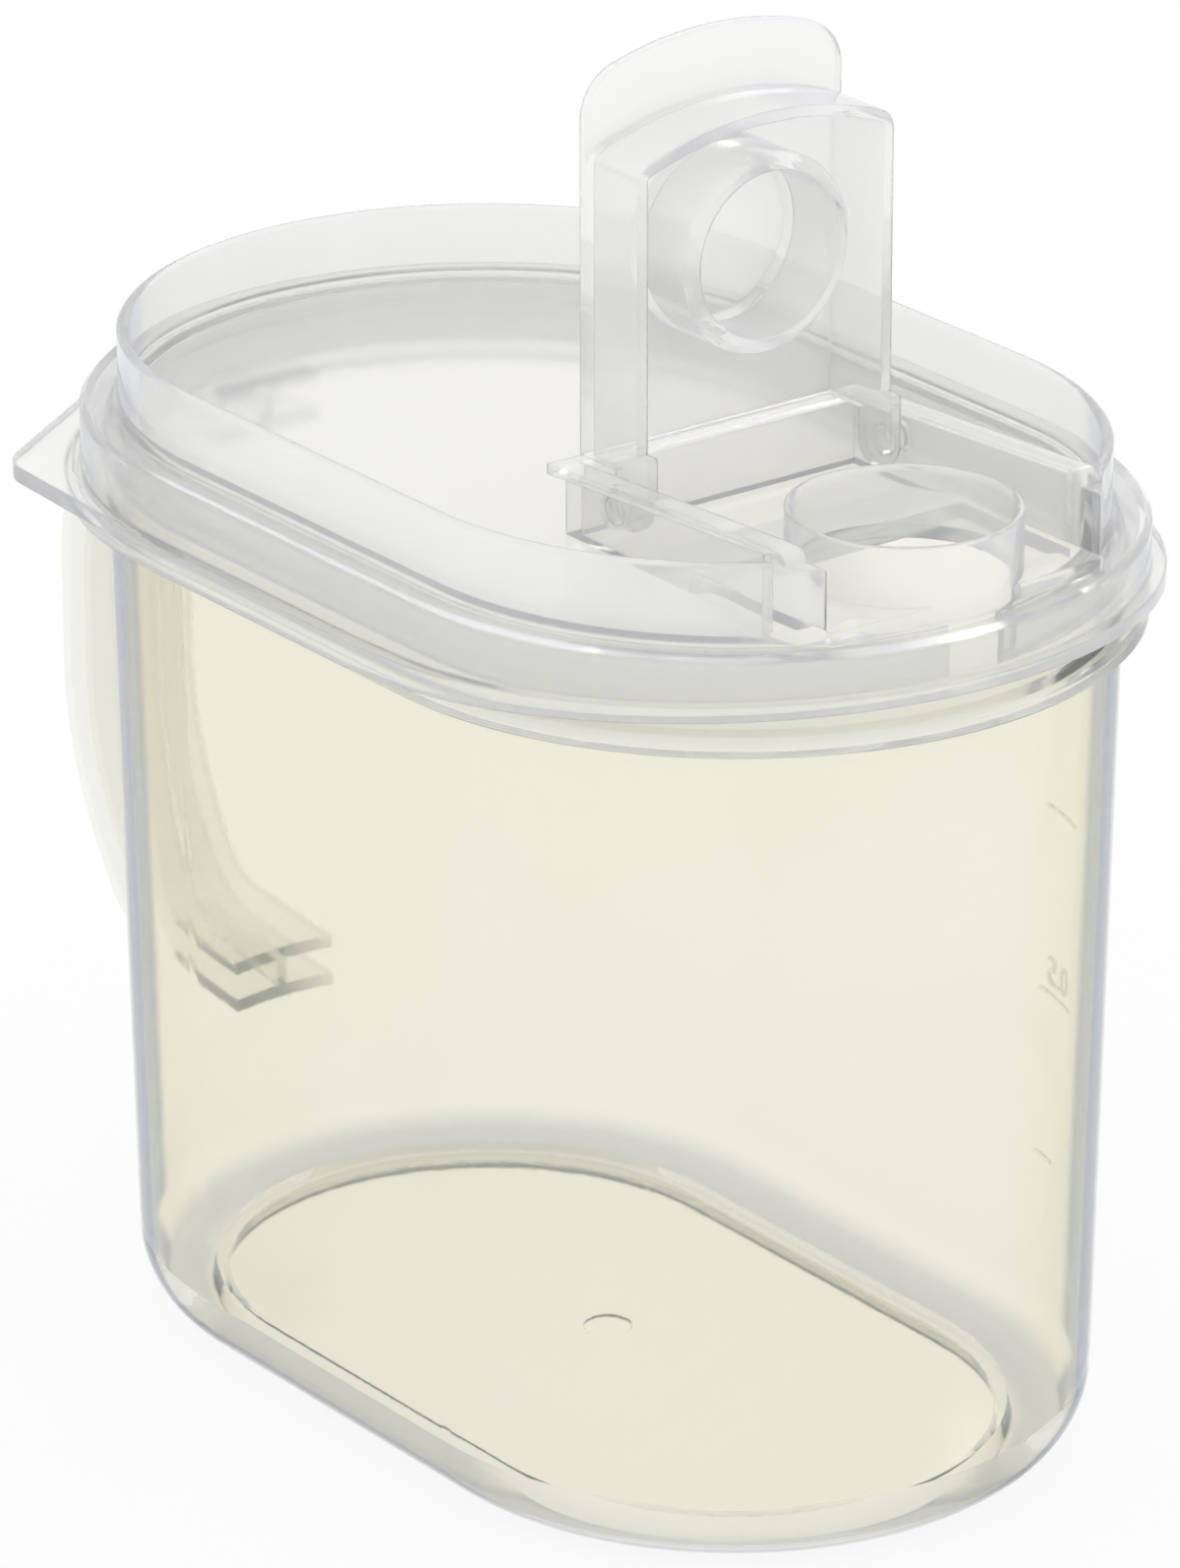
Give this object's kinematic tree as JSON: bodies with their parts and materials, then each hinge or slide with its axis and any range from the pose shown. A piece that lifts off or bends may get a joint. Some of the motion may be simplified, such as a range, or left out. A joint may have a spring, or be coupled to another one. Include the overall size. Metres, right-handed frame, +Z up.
{
  "type": "baby formula pitcher",
  "caption": "Oval lidded jug for mixed baby formula, with a strap handle, a snap lid with a pouring ring and a flip cap that stops it.",
  "frame": {"origin": "centre of the oval base, on the plane that the foot stands on", "axes": "+X towards the spout, -X towards the handle, +Z up; the cap stands open as pictured"},
  "size_m": [0.1895, 0.1052, 0.1835],
  "materials": {
    "cream_plastic": "translucent polypropylene, smooth",
    "frosted_plastic": "translucent polypropylene, smooth"
  },
  "bodies": {
    "jug": {"container": "cream_plastic", "handle": "cream_plastic"},
    "lid": {"lid": "frosted_plastic"},
    "cap": {"flip_cap": "frosted_plastic"}
  },
  "joints": [
    {"name": "lid_lift", "type": "slide", "parent": "jug", "child": "lid", "axis": [0, 0, 1], "range_m": [0, 0.03]},
    {"name": "cap_hinge", "type": "hinge", "parent": "lid", "child": "cap", "pos_m": [0.0306, 0, 0.1292], "axis": [0, 1, 0], "range_deg": [0, 90]}
  ]
}
